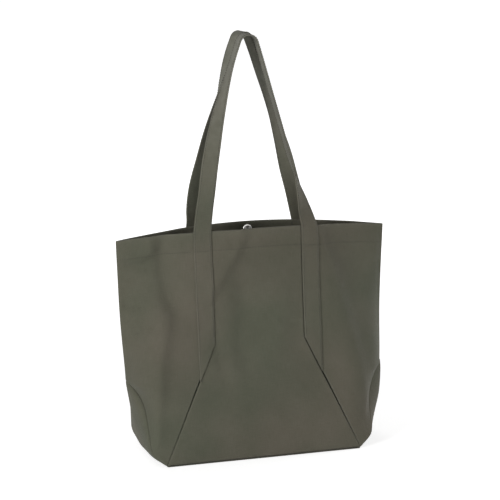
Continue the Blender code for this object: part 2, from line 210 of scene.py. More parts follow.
BACK_FOLDS = [
    ([(20, 322), (58, 268)], 2.8, 20, 10),
    ([(-112, 312), (-132, 230), (-158, 120)], 4.6, 14, 40),
    ([(150, 240), (160, 130), (166, 62)], 3.8, 13, 34),
    ([(206, 300), (160, 322)], 2.4, 16, 10),
    ([(-190, 290), (-186, 180)], 2, 20, 20),
    ([(22, 245), (30, 165)], -2.4, 22, 22),
    ([(-46, 212), (-20, 128)], 2, 26, 18),
    ([(128, 300), (122, 215)], 2.2, 20, 24),
]
FOLDS = {-1: metres(FRONT_FOLDS), 1: metres(BACK_FOLDS)}
FOLD_STRENGTH = 1.45
FOLD_MARGIN = 0.012
FOLD_LINE_WIDTH = 0.0003
UNEVEN = ((0.08, 0.0012), (0.024, 0.00032))
WALL_SEED = 7.3
HEM_DEPTH = 0.03
HEM_STEP = 0.0007
HEM_STEP_RUN = 0.004
FOOT_ROUND = 0.0014
FOOT_ROUND_HEIGHT = 0.009


def fold_push(x, z, line, height, left, right):
    """How far one fold pushes a point out, by its distance to the fold's line."""
    nearest, turn = None, 0
    for (from_x, from_z), (to_x, to_z) in zip(line, line[1:]):
        run_x, run_z = to_x - from_x, to_z - from_z
        length = math.hypot(run_x, run_z)
        along = clamp(((x - from_x) * run_x + (z - from_z) * run_z) / length ** 2)
        off_x, off_z = x - from_x - run_x * along, z - from_z - run_z * along
        distance = math.hypot(off_x, off_z)
        if nearest is None or distance < nearest:
            nearest = distance
            turn = (run_x * off_z - run_z * off_x) / length / max(distance, FOLD_LINE_WIDTH)
    reach = (left + right) / 2 - (left - right) / 2 * clamp(turn, -1, 1)
    return height * hump(nearest, 0, reach)


def wall_push(x, z, side):
    """How far folds, the hem's step and unevenness push a wall out from its smooth form."""
    push = FOLD_STRENGTH * sum(fold_push(x, z, *fold) for fold in FOLDS[side])
    for size, height in UNEVEN:
        push += height * noise.noise(Vector((x / size, z / size, side * WALL_SEED)))
    edge = smooth((side_edge(z, math.copysign(1, x))[0] - abs(x)) / FOLD_MARGIN)
    below_hem = smooth((rim_height(x) - HEM_DEPTH - z) / HEM_STEP_RUN)
    foot = FOOT_ROUND * (1 - smooth(z / FOOT_ROUND_HEIGHT))
    stud_hold = 1 - hump(math.hypot(x, z - STUD_HEIGHT), 0, STUD_REACH)
    return push * edge * stud_hold * smooth(z / FOLD_MARGIN) - HEM_STEP * below_hem * edge - foot


def wall_point(x, z, side, out=0.0):
    """A point of the front (side -1) or back (side 1) wall, pushed out by a length."""
    return Vector((x, side * (wall_depth(x, z) + wall_push(x, z, side) + out), z))


print("folds:", len(FRONT_FOLDS), "in front and", len(BACK_FOLDS), "behind")

# %% [markdown]
# Each panel is cut as a grid, and the grid is laid on the wall. The lengths along its rows and
# columns are kept as a UV map in metres, so that the weave follows the threads of that panel.
# The grid's columns crowd together beside the seams, where the cloth rolls into the stitching.
# An attribute keeps how much each point is lightened: wear at edges, painted light on handles.

# %% Lay a grid of cloth
THREADS = "threads"
# Attribute of how far each point is lightened: wear at seams and the rim, painted light on the handles.
WEAR_AND_PAINTED_LIGHT = "rubbed"
CROWDING = 0.8
RUB_REACH = 0.003
SEAM_RUB = 0.15
SOFT_LEVELS = 1


def crowd(share):
    """Moves a share from 0 to 1 towards its nearer end, so that columns lie close at seams."""
    return share - CROWDING * math.sin(2 * math.pi * share) / (2 * math.pi)


def new_piece(name, bm):
    """An object at the origin, from a mesh drawn in the bag's own place."""
    mesh = bpy.data.meshes.new(name)
    bm.to_mesh(mesh)
    bm.free()
    mesh.shade_smooth()
    piece = bpy.data.objects.new(name, mesh)
    bpy.context.scene.collection.objects.link(piece)
    return piece


def lay_cloth(name, columns, rows, place, turned=0, extra_wear_and_light=None, slanted=False):
    """A sheet through place(column, row). Where it is slanted, its width is taken square to columns."""
    bm = bmesh.new()
    bmesh.ops.create_grid(bm, x_segments=columns, y_segments=rows, size=0.5)
    rubbed = bm.verts.layers.float.new(WEAR_AND_PAINTED_LIGHT)
    threads = bm.loops.layers.uv.new(THREADS)
    grid = {}
    for vert in bm.verts:
        grid[round((vert.co.x + 0.5) * columns), round((vert.co.y + 0.5) * rows)] = vert
    for (column, row), vert in grid.items():
        vert.co = place(column, row)
    flat = {}
    for row in range(rows + 1):
        across = 0.0
        for column in range(columns + 1):
            here = grid[column, row]
            if column:
                step = here.co - grid[column - 1, row].co
                if slanted:
                    above, under = grid[column, min(row + 1, rows)], grid[column, max(row - 1, 0)]
                    along = (above.co - under.co).normalized()
                    step -= along * step.dot(along)
                across += step.length
            below = grid[column, row - 1] if row else here
            up = flat[below].y + (here.co - below.co).length if row else here.co.z - grid[0, 0].co.z
            flat[here] = Vector((across, up))
        middle = flat[grid[columns // 2, row]].x
        near, far = flat[grid[turned, row]].x, flat[grid[columns - turned, row]].x
        for column in range(columns + 1):
            here = grid[column, row]
            edge = max(min(flat[here].x - near, far - flat[here].x), 0)
            # Wear beside the seams, plus each row's own share: wear at a wall's rim, painted light on a
            # handle.
            here[rubbed] = clamp(SEAM_RUB * hump(edge, 0, RUB_REACH) + (extra_wear_and_light(row) if extra_wear_and_light else 0))
            flat[here].x -= middle
    for face in bm.faces:
        for loop in face.loops:
            loop[threads].uv = flat[loop.vert]
    bmesh.ops.recalc_face_normals(bm, faces=bm.faces)
    return new_piece(name, bm)


def add_thickness(piece, thickness):
    """Gives a sheet its thickness, half on each side, and softens it."""
    shell = piece.modifiers.new("Thickness", "SOLIDIFY")
    shell.thickness = thickness
    shell.offset = 0
    soft = piece.modifiers.new("Softness", "SUBSURF")
    soft.levels = soft.render_levels = SOFT_LEVELS


def cut_size(piece):
    """Width, length and area of a flat cut piece, read from its threads."""
    mesh = piece.data
    places = [entry.uv.copy() for entry in mesh.uv_layers[THREADS].data]
    width, length = (max(line) - min(line) for line in zip(*places))
    area = 0
    for face in mesh.polygons:
        corners = [places[index] for index in face.loop_indices]
        area += abs(sum(a.x * b.y - b.x * a.y for a, b in zip(corners, corners[1:] + corners[:1]))) / 2
    return width, length, min(area, width * length)


print("cloth is", CLOTH * 1000, "mm thick")

# %% [markdown]
# Panels are sewn face to face and turned, so that at each seam both edges point into the bag and
# only a thin groove shows outside. The grid's outermost columns and lowest rows are these seam
# allowances. At the rim the wall is folded over to the inside, 30 mm deep: the grid's rows climb
# to the rim, a few go round the fold, and the last ones are the hem's inner layer.

# %% Rows of a wall panel
FOOT_ROWS = 2
WALL_ROWS = 96
FOLD_ROWS = 6
HEM_ROWS = 9
WALL_TOP_ROW = FOOT_ROWS + WALL_ROWS
FOLD_TOP_ROW = WALL_TOP_ROW + FOLD_ROWS
PANEL_ROWS = FOLD_TOP_ROW + HEM_ROWS
HEM_POCKET = 0.0012
FOLD_RADIUS = (CLOTH + HEM_POCKET) / 2
HEM_SETBACK = 0.006
SEAM_DIP = 0.0006
SEAM_ROLL = 0.0014
PUCKER = 0.00022
PUCKER_LENGTH = 0.011
PUCKER_REACH = 0.01
PUCKER_DRIFT = 3
PUCKER_DRIFT_RATE = 40
ALLOWANCE = 0.007
SHORT_ALLOWANCE = 0.0008
ALLOWANCE_COLUMNS = 2
TURN_POWER = 3
ALLOWANCE_LIE = PANEL_FOOT + CLOTH / 2
RIM_RUB = 0.8


def seam_roll(distance, along):
    """How far cloth dips beside a seam, with small puckers along the stitching."""
    dip = -SEAM_DIP * hump(distance, 0, SEAM_ROLL)
    drift = PUCKER_DRIFT * noise.noise(Vector((along * PUCKER_DRIFT_RATE, 0, 0)))
    wave = math.sin(2 * math.pi * along / PUCKER_LENGTH + drift)
    return dip + PUCKER * wave * hump(distance, 0, PUCKER_REACH)


def foot_row(point, row, inward):
    """Lays a point of the lowest rows over the base, as the allowance turned in there."""
    share = 1 - row / FOOT_ROWS
    return Vector((point.x + inward.x * share, point.y + inward.y * share,
                   point.z + (ALLOWANCE_LIE - point.z) * math.sqrt(share)))


def wall_row(x, row, side, seam_distance, foot):
    """A point of a wall panel: rows climb the wall, go round the rim and down inside."""
    top = rim_height(x) - FOLD_RADIUS
    if row < FOOT_ROWS:
        return foot_row(wall_point(x, foot, side), row, Vector((0, -side * ALLOWANCE, 0)))
    if row <= WALL_TOP_ROW:
        z = foot + (top - foot) * (row - FOOT_ROWS) / WALL_ROWS
        return wall_point(x, z, side, seam_roll(seam_distance(x, z), z))
    outer = wall_depth(x, top) + wall_push(x, top, side) + seam_roll(seam_distance(x, top), top)
    radius = min(FOLD_RADIUS, (outer - CLOTH / 2) / 2)
    if row <= FOLD_TOP_ROW:
        angle = math.pi * (row - WALL_TOP_ROW) / FOLD_ROWS
        depth = outer - radius + radius * math.cos(angle)
        return Vector((x, side * depth, top + FOLD_RADIUS * math.sin(angle)))
    z = top - (HEM_DEPTH - FOLD_RADIUS) * (row - FOLD_TOP_ROW) / HEM_ROWS
    return wall_point(x, z, side, -2 * radius)


def between_seams(column, columns):
    """Share across a sheet from seam to seam, and how far an allowance has turned in, 0 to 1."""
    flat_columns = columns - 2 * ALLOWANCE_COLUMNS
    share = clamp((column - ALLOWANCE_COLUMNS) / flat_columns)
    turned = abs(column - ALLOWANCE_COLUMNS - share * flat_columns) / ALLOWANCE_COLUMNS
    return share, turned ** TURN_POWER


def allowance(row, point):
    """Length of the seam allowance beside a point, which is trimmed inside the hem."""
    if row > WALL_TOP_ROW:
        return SHORT_ALLOWANCE
    below_hem = smooth((rim_height(point.x) - HEM_DEPTH - HEM_STEP_RUN - point.z) / ALLOWANCE)
    return SHORT_ALLOWANCE + (ALLOWANCE - SHORT_ALLOWANCE) * below_hem


def rim_rub(row):
    """Extra rubbing where a wall is folded over at the rim."""
    return RIM_RUB * hump(row, (WALL_TOP_ROW + FOLD_TOP_ROW) / 2, FOLD_ROWS / 2)


print("rows in a panel:", PANEL_ROWS)

# %% Centre panels
CENTRE_COLUMNS = 76
FOOT_LIFT = 0.0012


def centre_panel(side):
    """The wall between two straps, whose seams slope out to the base's corners."""
    foot = PANEL_FOOT + FOOT_LIFT

    def seam_distance(x, z):
        return panel_edge(z) - abs(x)

    def place(column, row):
        across, turned = between_seams(column, CENTRE_COLUMNS)
        up = clamp((row - FOOT_ROWS) / WALL_ROWS)
        half = panel_edge(foot + (RIM_HEIGHT - foot) * up) - HALF_SEAM
        from_middle = 2 * crowd((1 + 2 * abs(across - 0.5)) / 2) - 1
        point = wall_row(math.copysign(half * from_middle, across - 0.5), row, side, seam_distance, foot)
        return point - Vector((0, side * allowance(row, point) * turned, 0))

    name = SIDE_NAMES[side] + "_centre"
    return lay_cloth(name, CENTRE_COLUMNS, PANEL_ROWS, place, ALLOWANCE_COLUMNS, rim_rub)


centre_panels = {side: centre_panel(side) for side in SIDE_NAMES}
centre_cut = cut_size(centre_panels[-1])
print("centre panel, cut:", [round(value, 3) for value in centre_cut])

# %% Side panels
SIDE_COLUMNS = 60
SIDE_TIP = 0.003
CORNER_TURN = 0.014
ROLL_FADE_TURNS = 2
SETBACK_ROWS = 2


def seam_directions(z):
    """Which way allowances point at the bag's side, and how the two layers lie apart."""
    turned = smooth((GUSSET_HEIGHT - z) / CORNER_TURN)
    return Vector((-1, -turned, 0)).normalized(), Vector((-turned, 1, 0)).normalized()


def side_panel(side, end):
    """A wall from under a strap to the side seam, ending in a tip at the base's corner."""
    foot = PANEL_FOOT + SIDE_TIP

    def seam_distance(x, z):
        above_gusset = smooth((z - GUSSET_HEIGHT) / CORNER_TURN + ROLL_FADE_TURNS)
        return min(abs(x) - panel_edge(z), side_edge(z, end)[0] - abs(x) + HALF_MOUTH * above_gusset)

    def place(column, row):
        share, turned = between_seams(column, SIDE_COLUMNS)
        level = foot + (CORNER_HEIGHT - foot) * clamp((row - FOOT_ROWS) / WALL_ROWS)
        inward, apart = seam_directions(level)
        inner = panel_edge(level) + HALF_SEAM
        outer = side_edge(level, end)[0] + apart.x * HALF_SEAM
        if row > FOLD_TOP_ROW:
            outer -= HEM_SETBACK * min((row - FOLD_TOP_ROW) / SETBACK_ROWS, 1)
        point = wall_row(end * (inner + (outer - inner) * crowd(share)), row, side, seam_distance, foot)
        length = allowance(row, point) * turned
        if column < ALLOWANCE_COLUMNS:
            return point - Vector((0, side * length, 0))
        return point + Vector((end * inward.x, side * inward.y, 0)) * length

    name = SIDE_NAMES[side] + "_" + END_NAMES[end] + "_side"
    return lay_cloth(name, SIDE_COLUMNS, PANEL_ROWS, place, ALLOWANCE_COLUMNS, rim_rub)


side_panels = [side_panel(*place) for place in PLACES]
print("side panel, cut:", [round(value, 3) for value in cut_size(side_panels[0])])

# %% [markdown]
# A gusset is the three-sided end of the bag, sewn to the short edge of the base and to both side
# panels, with its point where the side seam starts. It swells out between its seams, so that the
# bag's side only turns in near the floor. The base is a flat sheet under the walls, its short
# edges bowed out.

# %% Gussets and base
GUSSET_COLUMNS = 44
GUSSET_ROWS = 50
GUSSET_TOP_SHARE = 0.997
GUSSET_CROWDING = 1.5
SWELL_DROP = {-1: 1, 1: 4}
SWELL_FULL = {-1: 0.5, 1: 1.4}
SWELL_ROUND = {-1: 0.45, 1: 0.9}
SWELL_FOOT = 0.012
FOOT_SWELL = 0.003
FOOT_SWELL_HEIGHT = 0.015
FOOT_SWELL_RUN = 0.02
BASE_BOW = 0.004
GUSSET_DENT = 0.0025
DENT_ACROSS = 1.6
DENT_SHIFT = 3
DENT_SIZE = 0.05
DENT_SEED = 2.5
BASE_COLUMNS = 90
BASE_ROWS = 44
BASE_UNEVEN = 0.0001
BASE_UNEVEN_SIZE = 0.05
BASE_SEED = 9.1
BASE_INSET = 0.0016


def gusset_middle(z, end):
    """How far out the middle of a gusset lies at a height."""
    share = (1 - (1 - z / GUSSET_HEIGHT) ** SWELL_DROP[end]) ** SWELL_FULL[end]
    middle = HALF_BASE_LENGTH + (GUSSET_TIP - HALF_BASE_LENGTH) * share
    foot_swell = FOOT_SWELL * hump(z, FOOT_SWELL_HEIGHT, FOOT_SWELL_RUN)
    middle += end * side_lean(z) * smooth(z / LEAN_RUN) + foot_swell
    foot = HALF_BASE_LENGTH + BASE_BOW
    return foot + (middle - foot) * smooth(z / SWELL_FOOT)


def gusset(end):
    """The end of the bag between its two gusset seams, swelling out."""
    foot = PANEL_FOOT + FOOT_LIFT

    def place(column, row):
        share, turned = between_seams(column, GUSSET_COLUMNS)
        up = 1 - (1 - clamp((row - FOOT_ROWS) / (GUSSET_ROWS - FOOT_ROWS))) ** GUSSET_CROWDING
        z = foot + (GUSSET_HEIGHT * GUSSET_TOP_SHARE - foot) * up
        edge_x, edge_y = side_edge(z, end)
        inward, apart = seam_directions(z)
        lean = 2 * crowd(share) - 1
        room = (1 - lean ** 2) ** SWELL_ROUND[end]
        spot = Vector((lean * DENT_ACROSS + end * DENT_SHIFT, z / DENT_SIZE, DENT_SEED))
        dent = GUSSET_DENT * noise.noise(spot) * smooth(z / FOLD_MARGIN)
        foot_in = FOOT_ROUND * (1 - smooth(z / FOOT_ROUND_HEIGHT))
        half = max(edge_y - apart.y * HALF_SEAM - foot_in, 0)
        x = edge_x - apart.x * HALF_SEAM + (gusset_middle(z, end) - edge_x + dent) * room - foot_in
        point = Vector((end * x, lean * half, z))
        if row < FOOT_ROWS:
            return foot_row(point, row, Vector((-end * ALLOWANCE, 0, 0)))
        length = min(ALLOWANCE, edge_y) * turned
        return point + Vector((end * inward.x, math.copysign(inward.y, -lean), 0)) * length

    return lay_cloth(END_NAMES[end] + "_gusset_cloth", GUSSET_COLUMNS, GUSSET_ROWS, place, ALLOWANCE_COLUMNS)


def base_place(column, row):
    """A point of the base, flat on the floor."""
    lean_x, lean_y = 2 * column / BASE_COLUMNS - 1, 2 * row / BASE_ROWS - 1
    x = (HALF_BASE_LENGTH - BASE_INSET + BASE_BOW * (1 - lean_y ** 2) * abs(lean_x)) * lean_x
    y = (HALF_BASE_WIDTH - BASE_INSET) * lean_y
    spot = Vector((x / BASE_UNEVEN_SIZE, y / BASE_UNEVEN_SIZE, BASE_SEED))
    rough = BASE_UNEVEN * (1 + noise.noise(spot))
    return Vector((x, y, CLOTH / 2 + rough))


gussets = {end: gusset(end) for end in END_NAMES}
base = lay_cloth("base_cloth", BASE_COLUMNS, BASE_ROWS, base_place)
for piece in (*centre_panels.values(), *side_panels, *gussets.values(), base):
    add_thickness(piece, CLOTH)
print("gusset, cut:", [round(value, 3) for value in cut_size(gussets[-1])])

# %% [markdown]
# The middle of a centre panel swings in when the press stud is closed, while its seams stay with
# the straps. A bend works along one direction only, so the finished panel is cut into two halves,
# one from each strap to the middle. Both come from one softened mesh, so no line shows.

# %% Halve the centre panels
CUT_REACH = 1e-6


def halve(whole):
    """The left and right half of a finished panel, each closed where it was cut."""
    graph = bpy.context.evaluated_depsgraph_get()
    mesh = bpy.data.meshes.new_from_object(whole.evaluated_get(graph))
    halves = {}
    for end, end_name in END_NAMES.items():
        bm = bmesh.new()
        bm.from_mesh(mesh)
        bmesh.ops.bisect_plane(bm, geom=[*bm.verts, *bm.edges, *bm.faces], dist=CUT_REACH,
                               plane_co=(0, 0, 0), plane_no=(-end, 0, 0), clear_outer=True)
        open_edges = [edge for edge in bm.edges if edge.is_boundary]
        bmesh.ops.holes_fill(bm, edges=open_edges, sides=0)
        for edge in open_edges:
            edge.smooth = False
        halves[end] = new_piece(whole.name + "_" + end_name + "_half", bm)
    bpy.data.objects.remove(whole)
    return halves


panel_halves = {side: halve(panel) for side, panel in centre_panels.items()}
print("faces in a half:", len(panel_halves[-1][-1].data.polygons))

# %% [markdown]
# A strap is a strip of the same canvas, folded to four layers and stitched down both edges. It
# starts in the slanting seam, runs up the wall, and twists on its way from the rim to the crown,
# where the two handles hang side by side. One grid covers both legs and the handle. Its middle
# line is a list of points, and the direction of its width turns along it.

# %% Route of a strap
STRAP_WIDTH = 0.025
LEG_WIDTH = 0.0268
STRAP_THICKNESS = 0.0017
STRAP_STAND = CLOTH / 2 + SEAM_GAP + STRAP_THICKNESS / 2
HANDLE_TOP = max(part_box(node)[1].z for node in ("front_handle_loop", "back_handle_loop"))
CROWN_X = -0.0115
CROWN_SETBACK = 0.015
CROWN_RUN = 0.117
CROWN_RADIUS = {-1: 0.014, 1: 0.0125}
CROWN_TURN = {-1: 0, 1: math.radians(20)}
LEG_LEAN = math.radians(16.7)
LEG_BOW = {(-1, -1): 0.006, (-1, 1): -0.0005, (1, -1): 0.009, (1, 1): 0.0095}
TWIST = {(-1, -1): (0.08, 0.92), (-1, 1): (-0.12, 0.36), (1, -1): (0.22, 0.98), (1, 1): (0.12, 0.55)}
RIM_SWAY = {(1, -1): 0.005}
SWAY_SHARE = 0.16
SWAY_RUN = 0.14
LEG_ROWS = 104
RISE_ROWS = 100
CROWN_ROWS = 24
STRAP_COLUMNS = 10


def crown_shape(side):
    """The crown's centre, its radius and the direction along it."""
    radius = CROWN_RADIUS[side]
    centre = Vector((CROWN_X, side * CROWN_SETBACK, HANDLE_TOP - STRAP_THICKNESS / 2 - radius))
    along = Vector((math.cos(CROWN_TURN[side]), math.sin(CROWN_TURN[side]), 0))
    return centre, radius, along


def strap_line(end):
    """Where the middle of a strap's leg lies across the wall."""
    return end * (STRAP_EDGE + LEG_WIDTH / 2 - SEAM_GAP)


def rise_points(side, end):
    """Middle points of a handle's leg, from the rim up to the crown, as a quadratic curve."""
    centre, radius, along = crown_shape(side)
    rim = rim_height(STRAP_EDGE)
    foot = wall_point(strap_line(end), rim, side, STRAP_STAND)
    up = Vector((0, 0, 1))
    crown = centre + radius * (along * end * math.cos(LEG_LEAN) + up * math.sin(LEG_LEAN))
    spread = end * (CROWN_RUN * math.sin(LEG_LEAN) + LEG_BOW[side, end])
    bend = crown + Vector((spread, 0, -CROWN_RUN * math.cos(LEG_LEAN)))
    rim_sway = end * RIM_SWAY.get((side, end), 0)
    points = []
    for step in range(RISE_ROWS):
        share = step / RISE_ROWS
        sway = rim_sway * hump(share, SWAY_SHARE, SWAY_RUN) * smooth(2 * share / SWAY_SHARE)
        point = foot * (1 - share) ** 2 + bend * 2 * share * (1 - share) + crown * share ** 2
        points.append(point + Vector((sway, 0, 0)))
    return points


def handle_points(side):
    """Middle points of a whole handle, from the left rim over the crown to the right rim."""
    centre, radius, along = crown_shape(side)
    crown = []
    for step in range(CROWN_ROWS + 1):
        angle = math.pi - LEG_LEAN - (math.pi - 2 * LEG_LEAN) * step / CROWN_ROWS
        crown.append(centre + radius * (along * math.cos(angle) + Vector((0, 0, math.sin(angle)))))
    return rise_points(side, -1) + crown + rise_points(side, 1)[::-1]


def width_angle(side, step, count):
    """Direction of the strap's width about Z at a step of its handle."""
    rim = rim_height(STRAP_EDGE)
    outer = STRAP_EDGE + STRAP_WIDTH
    fall = wall_depth(STRAP_EDGE, rim) - wall_depth(outer, rim)
    lie = math.atan2(fall, STRAP_WIDTH)
    top = side * math.pi / 2 + CROWN_TURN[side]
    end = -1 if step < count / 2 else 1
    share = min(step, count - 1 - step) / RISE_ROWS
    start, stop = TWIST[side, end]
    turned = smooth((share - start) / (stop - start))
    turned_at_rim = smooth(-start / (stop - start))
    foot = side * lie if end < 0 else side * math.pi - side * lie
    return foot + (top - foot) * (turned - turned_at_rim) / (1 - turned_at_rim)


print("handle points:", len(handle_points(-1)))

# %% Straps
SAG = 0.0014
SAG_SIZE = 0.06
SAG_SEED = 4.2
RIM_EASE = 20
CREASES = {
    -1: ((-1, 0.362), (-1, 0.386), (-1, 0.448), (1, 0.372), (-1, 0.292), (-1, 0.23), (1, 0.3), (1, 0.205)),
    1: ((-1, 0.37), (1, 0.366), (1, 0.42), (-1, 0.24), (1, 0.262)),
}
CREASE_DEPTH = 0.0005
CREASE_RUN = 0.0022
CREASE_SLANTS = (0.006, 0, -0.006)


def crease_depth(side, end, z, lean):
    """Depth of the small creases across a strap, each slanting a little."""
    depth = 0
    for number, (crease_end, height) in enumerate(CREASES[side]):
        if crease_end == end:
            slant = CREASE_SLANTS[number % len(CREASE_SLANTS)]
            depth += CREASE_DEPTH * hump(z + slant * lean, height, CREASE_RUN)
    return depth


def strap(side):
    """One whole strap: left leg on the wall, handle, and right leg on the wall."""
    points = handle_points(side)
    count = len(points)
    rows = 2 * LEG_ROWS + count - 1

    def leg_place(lean, up, end):
        x = strap_line(end) + lean * LEG_WIDTH
        slope = clamp((abs(x) - STRAP_EDGE) / (HALF_BASE_LENGTH - STRAP_EDGE))
        foot = STRAP_END_HEIGHT * (1 - slope)
        z = foot + (rim_height(STRAP_EDGE) - foot) * up
        return wall_point(x, z, side, STRAP_STAND - crease_depth(side, end, z, lean))

    def place(column, row):
        lean = column / STRAP_COLUMNS - 0.5
        if row < LEG_ROWS:
            return leg_place(lean, row / LEG_ROWS, -1)
        if row > rows - LEG_ROWS:
            return leg_place(-lean, (rows - row) / LEG_ROWS, 1)
        step = row - LEG_ROWS
        end = -1 if step < count / 2 else 1
        run = (points[min(step + 1, count - 1)] - points[max(step - 1, 0)]).normalized()
        angle = width_angle(side, step, count)
        width = Vector((math.cos(angle), math.sin(angle), 0))
        near = smooth(min(step, count - 1 - step) / RIM_EASE)
        width = (width - run * width.dot(run) * near).normalized()
        breadth = LEG_WIDTH + (STRAP_WIDTH - LEG_WIDTH) * near
        waver = SAG * near * noise.noise(Vector((points[step].z / SAG_SIZE, side * SAG_SEED + end, 0)))
        inward = width.cross(run) * -side * crease_depth(side, end, points[step].z, lean)
        return points[step] + width * (breadth * lean + waver) - inward

    # Painted light: a handle grows lighter from the rim up to the crown, standing in for the stronger light
    # on the handles above the bag.
    def handle_painted_light(row):
        return smooth((min(row, rows - row) - LEG_ROWS) / RISE_ROWS)

    return lay_cloth(SIDE_NAMES[side] + "_strap", STRAP_COLUMNS, rows, place, extra_wear_and_light=handle_painted_light, slanted=True)


straps = {side: strap(side) for side in SIDE_NAMES}
for piece in straps.values():
    add_thickness(piece, STRAP_THICKNESS)
print("strap, cut:", [round(value, 3) for value in cut_size(straps[-1])])

# %% [markdown]
# Stitches are short thread ends that lie proud of the cloth. One line of them holds the hem, and
# a line near each edge holds a strap together. A stitch is a small ball of few faces, drawn out
# along the line. A whole line is one mesh, which bends with its cloth.

# %% Lines of stitches
STITCH = 0.003
STITCH_SPACE = 0.0008
THREAD = 0.0004
STITCH_SUNK = 0.5
STITCH_SIDES = 6
STITCH_RINGS = 4

stitch_bm = bmesh.new()
bmesh.ops.create_uvsphere(stitch_bm, u_segments=STITCH_SIDES, v_segments=STITCH_RINGS, radius=1)
stitch_form = bpy.data.meshes.new("stitch_form")
stitch_bm.to_mesh(stitch_form)
stitch_bm.free()


def add_stitch(bm, start, stop, out):
    """One stitch between two points of the cloth's surface, on its outer side."""
    run = stop - start
    along = run.normalized()
    across = out.cross(along).normalized()
    turn = Matrix((across, along.cross(across), along)).transposed().to_4x4()
    size = Matrix.Diagonal((THREAD, THREAD, run.length / 2, 1))
    place = Matrix.Translation((start + stop) / 2 + out * THREAD * (1 - STITCH_SUNK))
    stitch = stitch_form.copy()
    stitch.transform(place @ turn @ size)
    bm.from_mesh(stitch)
    bpy.data.meshes.remove(stitch)


def sew(bm, points, outs):
    """Stitches along a line of surface points, each with its outward direction."""
    travelled = 0.0
    start = None
    for here, there, out in zip(points, points[1:], outs):
        length = (there - here).length
        while travelled + length >= (goal := STITCH_SPACE if start is None else STITCH):
            left = goal - travelled
            here = here.lerp(there, left / length)
            if start is None:
                start = here
            else:
                add_stitch(bm, start, here, out)
                start = None
            length -= left
            travelled = 0.0
        travelled += length


def wall_out(x, z, side):
    """The direction straight out from a wall."""
    across = wall_point(x + CLOTH, z, side) - wall_point(x - CLOTH, z, side)
    up = wall_point(x, z + CLOTH, side) - wall_point(x, z - CLOTH, side)
    return (across.cross(up) * -side).normalized()


print("a stitch is", STITCH * 1000, "mm long")

# %% Stitches of the hem
HEM_LINE = 0.028
LINE_STEP = 0.004
STRAP_OUTER = STRAP_EDGE + LEG_WIDTH
HEM_SPANS = {
    "hem": (0, STRAP_EDGE - HALF_SEAM, CLOTH / 2),
    "side_hem": (STRAP_OUTER, HALF_MOUTH - HEM_SETBACK / 2, CLOTH / 2),
    "strap_hem": (STRAP_EDGE, STRAP_OUTER, STRAP_STAND + STRAP_THICKNESS / 2),
}


def hem_stitches(side, end, span):
    """The line of stitches that holds one span of the hem."""
    near, far, out = HEM_SPANS[span]
    low, high = sorted((end * near, end * far))
    count = math.ceil((high - low) / LINE_STEP)
    line = [low + (high - low) * step / count for step in range(count + 1)]
    spots = [(x, rim_height(x) - HEM_LINE, side) for x in line]
    bm = bmesh.new()
    sew(bm, [wall_point(*spot, out) for spot in spots], [wall_out(*spot) for spot in spots])
    return new_piece("_".join((SIDE_NAMES[side], END_NAMES[end], span, "stitches")), bm)


hem_lines = {}
still_hem_lines = []
for place in PLACES:
    hem_lines[place] = hem_stitches(*place, "hem")
    still_hem_lines += [hem_stitches(*place, "side_hem"), hem_stitches(*place, "strap_hem")]
print("hem lines:", len(hem_lines) + len(still_hem_lines))

# %% Stitches of the straps
EDGE_MARGIN = 0.0026
CLEAR_ROWS = 4


def strap_stitches(side):
    """Lines of stitches down a strap near its edges, on its outer face and inside the handle."""
    corners = [vert.co for vert in straps[side].data.vertices]
    lefts, rights = corners[::STRAP_COLUMNS + 1], corners[STRAP_COLUMNS::STRAP_COLUMNS + 1]
    rows = len(lefts)
    bm = bmesh.new()
    inner_start = LEG_ROWS + CLEAR_ROWS
    for face, first, last in ((1, 0, rows), (-1, inner_start, rows - inner_start)):
        for near, far, turn in ((lefts, rights, -side), (rights, lefts, side)):
            points, outs = [], []
            for row in range(first, last):
                run = (near[min(row + 1, rows - 1)] - near[max(row - 1, 0)]).normalized()
                across = far[row] - near[row]
                across = (across - run * across.dot(run)).normalized()
                out = across.cross(run) * turn * face
                points.append(near[row] + across * EDGE_MARGIN + out * STRAP_THICKNESS / 2)
                outs.append(out)
            sew(bm, points, outs)
    return new_piece(SIDE_NAMES[side] + "_strap_stitches", bm)


strap_lines = {side: strap_stitches(side) for side in SIDE_NAMES}
print("faces in a strap's stitches:", len(strap_lines[-1].data.polygons))

# %% [markdown]
# The press stud has a ball on the front hem and a ring-shaped socket on the back hem. Both are
# turned parts, so each is a profile spun about the direction it faces. The socket's two spring
# wires cross its bore and grip the ball.

# %% Press stud
ring_low, ring_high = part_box("press_stud_socket")
RING_STEPS = 48
SPRING_OFFSET = 0.0024
SPRING_SEAT = 0.0009
SPRING_RADIUS = 0.0003
SPRING_LENGTH = 0.0046
SPRING_SIDES = 10
BALL_PROFILE = [
    (0, 0.15), (4, 0.15), (5.8, 0), (6, 0.25), (5.8, 0.6), (4.7, 0.78), (4.2, 1), (3, 1.04), (2, 1.25),
    (1.8, 1.6), (1.9, 2.4), (2.3, 3.3), (2.25, 3.9), (1.9, 4.3), (1.2, 4.52), (0, 4.58)]
RING_PROFILE = [
    (3.1, 0.2), (6.6, 0), (7.3, 0.3), (7.5, 0.8), (7.4, 1.3), (7, 1.8), (6.4, 2.2), (5.7, 2.4), (5, 2.2),
    (4.4, 1.8), (4, 1.3), (3.6, 1.2), (3.2, 1.2), (2.9, 1), (2.9, 0.6)]


